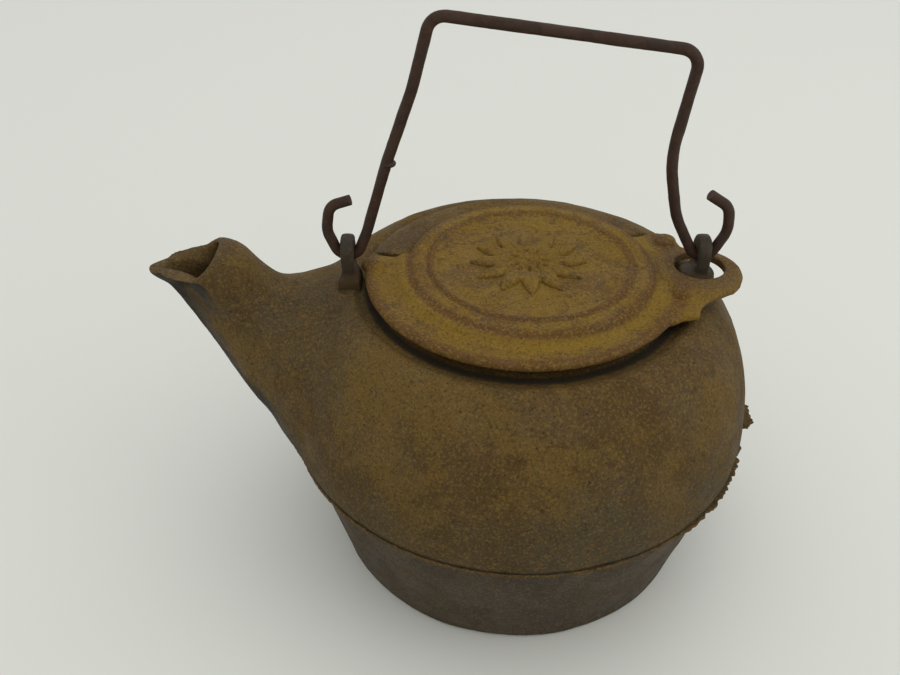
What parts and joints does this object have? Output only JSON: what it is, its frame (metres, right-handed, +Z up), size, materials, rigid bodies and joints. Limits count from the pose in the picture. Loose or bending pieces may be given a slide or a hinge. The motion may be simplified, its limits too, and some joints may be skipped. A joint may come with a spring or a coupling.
{
  "type": "stove kettle",
  "caption": "Cast-iron stove kettle with a stepped stove well, a faceted pouring spout, a swivelling lid on a rear lug and a bent-rod bail handle.",
  "frame": {"origin": "centre of the flat round base of the stove well, on the surface it stands on", "axes": "+Z up; -X towards the spout, +X towards the lid's pivot ear; +Y to the left of someone looking along +X"},
  "size_m": [0.2937, 0.226, 0.2698],
  "materials": {
    "rusted_iron": "rough sand-cast, brown rust",
    "soot_black_iron": "rough sand-cast, dark",
    "lid_iron": "rough sand-cast, yellow-brown rust",
    "rod_iron": "drawn iron rod, brown patina"
  },
  "bodies": {
    "kettle": {"stove_well": "soot_black_iron", "kettle_shell": "rusted_iron", "deck": "rusted_iron", "spout": "rusted_iron", "front_ear": "rusted_iron", "rear_ear": "rusted_iron"},
    "lid": {"lid": "lid_iron"},
    "bail": {"bail": "rod_iron"}
  },
  "joints": [
    {"name": "bail_swing", "type": "hinge", "parent": "kettle", "child": "bail", "pos_m": [0, 0, 0.159], "axis": [-1, 0, 0], "range_deg": [-88, 88]},
    {"name": "lid_swing", "type": "hinge", "parent": "kettle", "child": "lid", "pos_m": [0.082, 0, 0.15], "axis": [0, 0, 1], "range_deg": [0, 90]}
  ]
}
